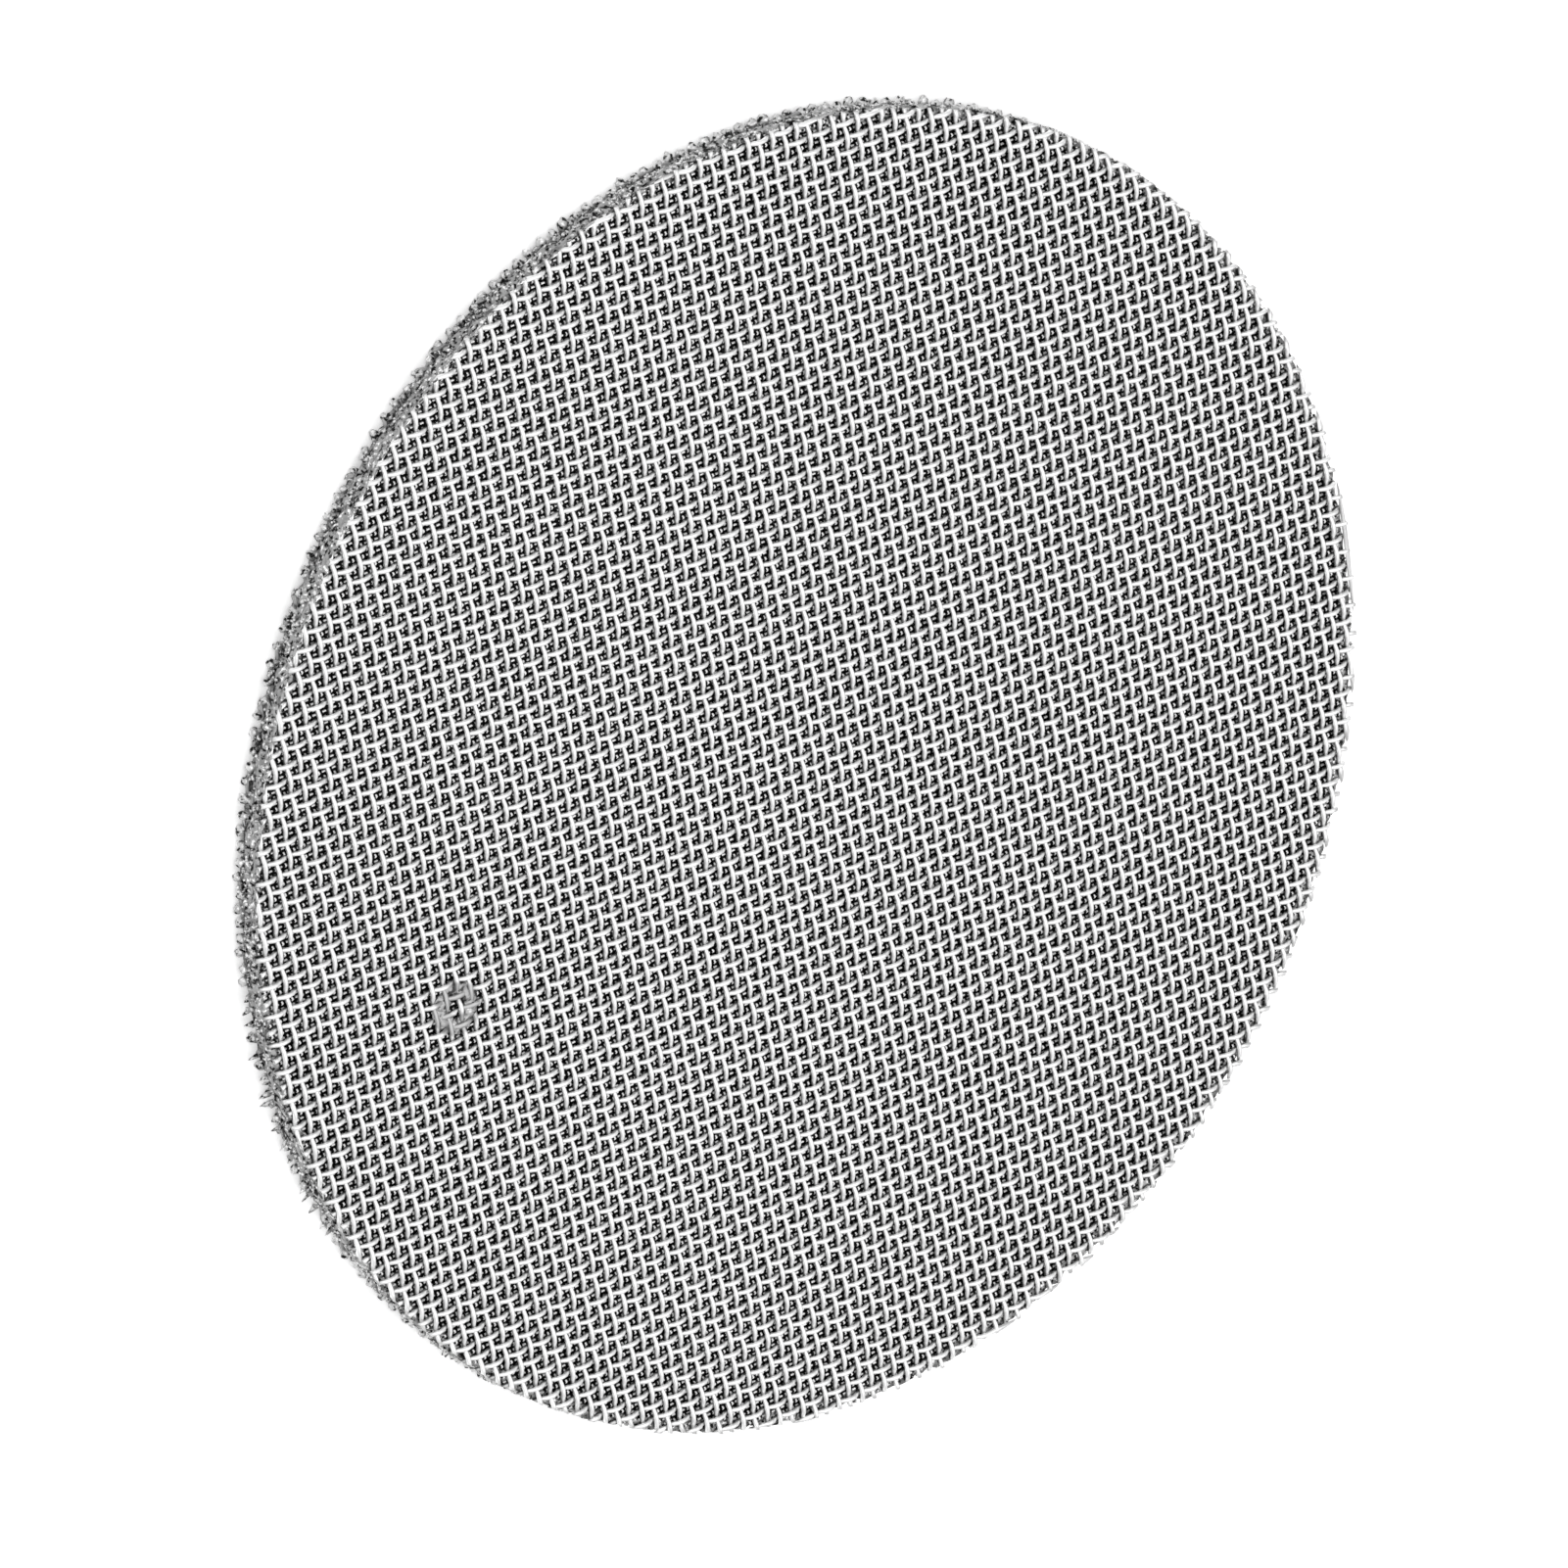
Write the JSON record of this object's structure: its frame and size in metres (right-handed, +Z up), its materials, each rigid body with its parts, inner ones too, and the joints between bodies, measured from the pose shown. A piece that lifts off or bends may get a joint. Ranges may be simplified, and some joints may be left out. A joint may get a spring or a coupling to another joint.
{
  "type": "wire mesh filter disc",
  "caption": "Thin round filter disc of sintered woven wire mesh, a coarse weave on both faces over a fine mesh inside, dropped into a round basket to spread and strain a flow.",
  "frame": {"origin": "middle of the back face that the disc lies on", "axes": "+Z up through the disc, +X across the warp wires, +Y along the warp wires"},
  "size_m": [0.0584, 0.0584, 0.0017],
  "materials": {
    "coarse_wire": "satin drawn stainless wire, bright on its crowns",
    "fine_mesh": "fine sintered stainless mesh, dull grey at its punched edge"
  },
  "bodies": {
    "root": {"front_warp_wires": "coarse_wire", "front_weft_wires": "coarse_wire", "fine_mesh_wall": "fine_mesh", "back_weft_wires": "coarse_wire", "back_warp_wires": "coarse_wire"}
  },
  "joints": []
}
